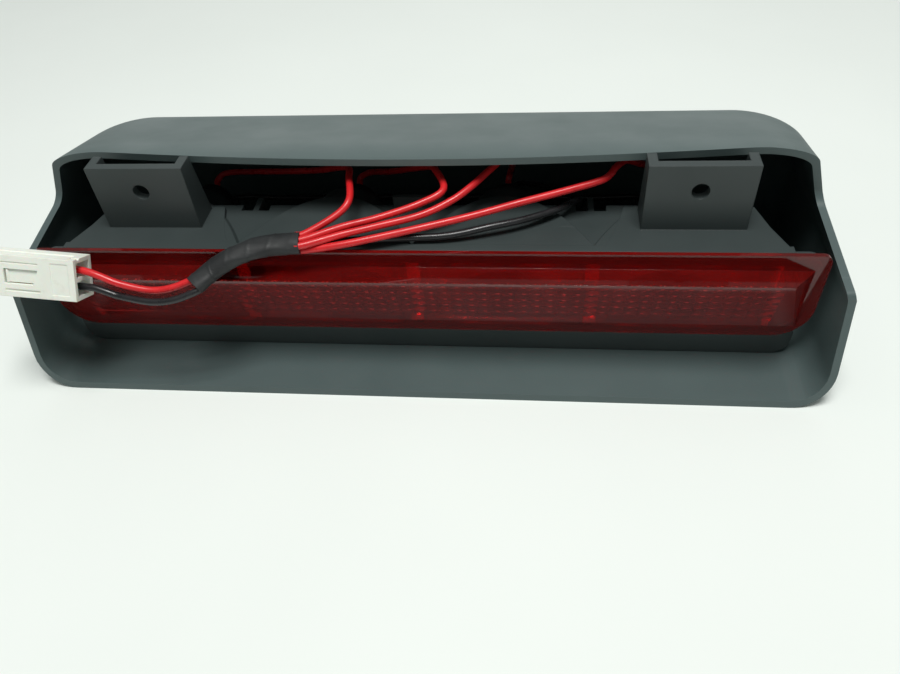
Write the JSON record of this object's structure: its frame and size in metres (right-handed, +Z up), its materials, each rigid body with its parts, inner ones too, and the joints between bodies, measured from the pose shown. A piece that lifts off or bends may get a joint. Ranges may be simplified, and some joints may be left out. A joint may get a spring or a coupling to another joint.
{
  "type": "third brake light",
  "caption": "Hooded car third brake light with a red lens, wedge bulbs in twist-lock holders, screw towers and a taped lead to a connector.",
  "frame": {"origin": "centre of the base, on the surface that the cover stands on", "axes": "+X along the lamp, +Y from the open lens side to the closed back of the cover, +Z up"},
  "size_m": [0.2745, 0.1059, 0.0702],
  "materials": {
    "cover": "satin, slate grey-green",
    "housing": "satin, slate grey",
    "metallised": "vacuum metallised",
    "lens": "glossy transparent red",
    "seal": "soft foam rubber",
    "screw": "zinc plated",
    "bulb_glass": "clear",
    "filament": "tungsten",
    "holder": "satin",
    "brass": "plain",
    "red_wire": "satin insulation",
    "black_wire": "satin insulation",
    "tape": "wrapped tape",
    "connector": "satin, off-white"
  },
  "bodies": {
    "lamp": {"cover_shell": "cover", "lamp_body": "housing", "reflector": "metallised", "lens": "lens", "lens_seal": "seal", "body_screws": "screw", "red_wire_1": "red_wire", "red_wire_2": "red_wire", "red_wire_3": "red_wire", "red_wire_4": "red_wire", "ground_wire": "black_wire", "ground_jumper_1": "black_wire", "ground_jumper_2": "black_wire", "ground_jumper_3": "black_wire", "wire_sleeve": "tape", "lead_red": "red_wire", "lead_black": "black_wire", "connector_housing": "connector", "terminal_red": "brass", "terminal_black": "brass"},
    "holder_1": {"bulb_holder_1": "holder", "contacts_1": "brass", "bulb_1": "bulb_glass", "filament_1": "filament"},
    "holder_2": {"bulb_holder_2": "holder", "contacts_2": "brass", "bulb_2": "bulb_glass", "filament_2": "filament"},
    "holder_3": {"bulb_holder_3": "holder", "contacts_3": "brass", "bulb_3": "bulb_glass", "filament_3": "filament"},
    "holder_4": {"bulb_holder_4": "holder", "contacts_4": "brass", "bulb_4": "bulb_glass", "filament_4": "filament"},
    "latch": {"connector_latch": "connector"}
  },
  "joints": [
    {"name": "holder_1_twist", "type": "hinge", "parent": "lamp", "child": "holder_1", "pos_m": [-0.08775, 0.01, 0.02775], "axis": [0, 1, 0], "range_deg": [0, 45]},
    {"name": "holder_2_twist", "type": "hinge", "parent": "lamp", "child": "holder_2", "pos_m": [-0.02925, 0.01, 0.02775], "axis": [0, 1, 0], "range_deg": [0, 45]},
    {"name": "holder_3_twist", "type": "hinge", "parent": "lamp", "child": "holder_3", "pos_m": [0.02925, 0.01, 0.02775], "axis": [0, 1, 0], "range_deg": [0, 45]},
    {"name": "holder_4_twist", "type": "hinge", "parent": "lamp", "child": "holder_4", "pos_m": [0.08775, 0.01, 0.02775], "axis": [0, 1, 0], "range_deg": [0, 45]},
    {"name": "latch_press", "type": "hinge", "parent": "lamp", "child": "latch", "pos_m": [-0.11817, -0.04806, 0.04843], "axis": [-0.0732, -0.4528, -0.8886], "range_deg": [0, 8], "stiffness_Nm_per_rad": 0.1}
  ]
}
